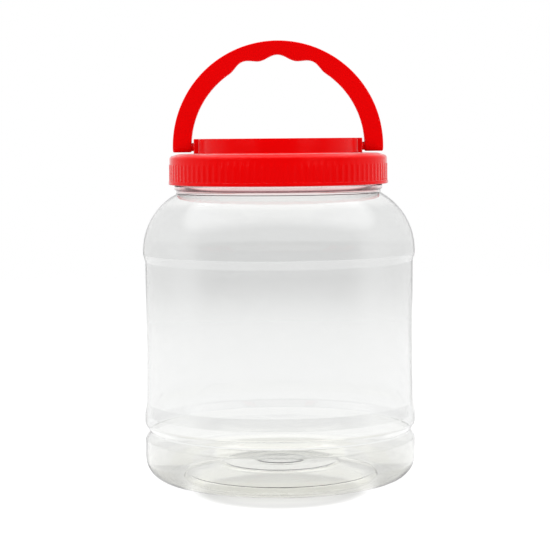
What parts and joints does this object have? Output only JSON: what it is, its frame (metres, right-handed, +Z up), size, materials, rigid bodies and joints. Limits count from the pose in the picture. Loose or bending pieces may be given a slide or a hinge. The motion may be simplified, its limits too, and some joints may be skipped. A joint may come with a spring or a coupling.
{
  "type": "wide-mouth storage jar",
  "caption": "Clear round screw-top storage jar with a ribbed red lid and a red carrying handle that folds flat around the lid's raised centre.",
  "frame": {"origin": "on the floor under the middle of the jar", "axes": "+Z up along the jar's axis; the handle's pivots lie along X; the pictured side faces -Y"},
  "size_m": [0.165, 0.165, 0.2649],
  "materials": {
    "clear_pet": "clear blown polyester, glossy",
    "red_polypropylene": "moulded, semi-gloss red",
    "liner_foam": "white closed-cell foam sheet"
  },
  "bodies": {
    "jar": {"jar_body": "clear_pet"},
    "liner": {"lid_liner": "liner_foam"},
    "lid": {"screw_lid": "red_polypropylene"},
    "handle": {"carry_handle": "red_polypropylene"}
  },
  "joints": [
    {"name": "lid_lift", "type": "slide", "parent": "jar", "child": "liner", "axis": [0, 0, 1], "range_m": [0, 0.024]},
    {"name": "lid_turn", "type": "hinge", "parent": "liner", "child": "lid", "pos_m": [0, 0, 0.19493], "axis": [0, 0, 1], "range_deg": [0, 1440]},
    {"name": "handle_fold", "type": "hinge", "parent": "lid", "child": "handle", "pos_m": [0, 0, 0.20133], "axis": [1, 0, 0], "range_deg": [-90, 90]}
  ],
  "couplings": [
    {"joint": "lid_lift", "follows": "lid_turn", "m_per_rad": 0.00095493}
  ]
}
